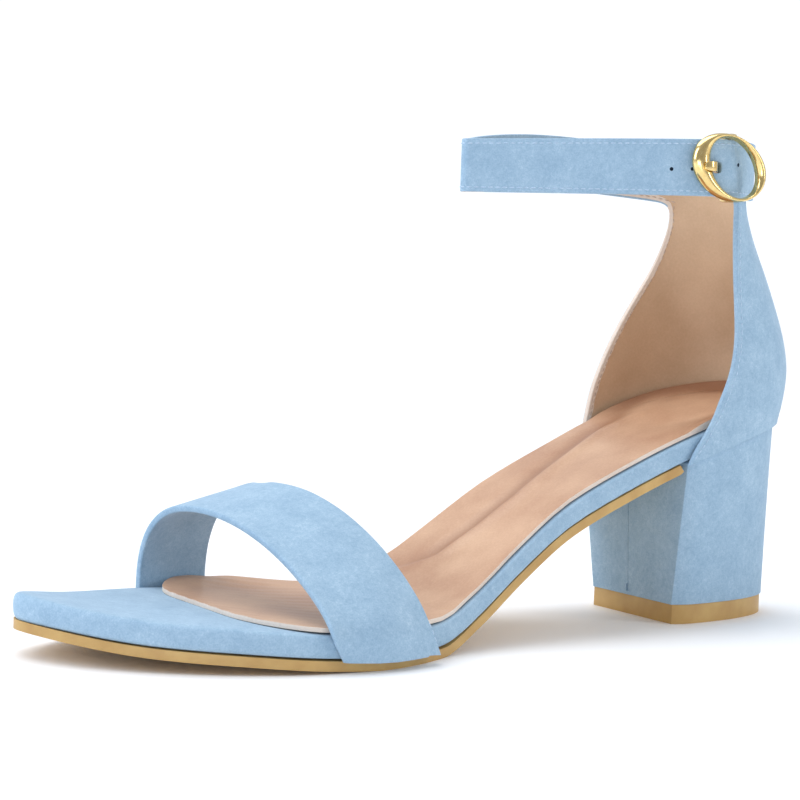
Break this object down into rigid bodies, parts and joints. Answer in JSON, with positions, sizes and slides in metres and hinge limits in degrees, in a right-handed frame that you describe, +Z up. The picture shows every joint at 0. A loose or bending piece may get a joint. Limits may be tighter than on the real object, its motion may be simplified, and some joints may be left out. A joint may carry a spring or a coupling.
{
  "type": "block heel sandal",
  "caption": "Left light blue suede block heel sandal with a band over the toes, a closed heel counter and an ankle strap with a round gold buckle",
  "frame": {"origin": "centre of the heel's tread, on the floor", "axes": "+X points to the toe, +Y to the wearer's left, which is the outer side with the buckle, +Z up"},
  "size_m": [0.2394, 0.0875, 0.1408],
  "materials": {
    "blue_suede_cloth": "fine nap",
    "tan_lining": "smooth",
    "tan_rubber": "smooth",
    "polished_gold": "polished gold plate"
  },
  "bodies": {
    "root": {"upper_heel_counter_ankle_strap": "blue_suede_cloth", "upper_toe_strap": "blue_suede_cloth", "insole": "tan_lining", "footbed": "blue_suede_cloth", "outsole": "tan_rubber", "heel_block": "blue_suede_cloth", "heel_top_piece": "tan_rubber", "buckle_frame": "polished_gold", "buckle_prong": "polished_gold"}
  },
  "joints": []
}
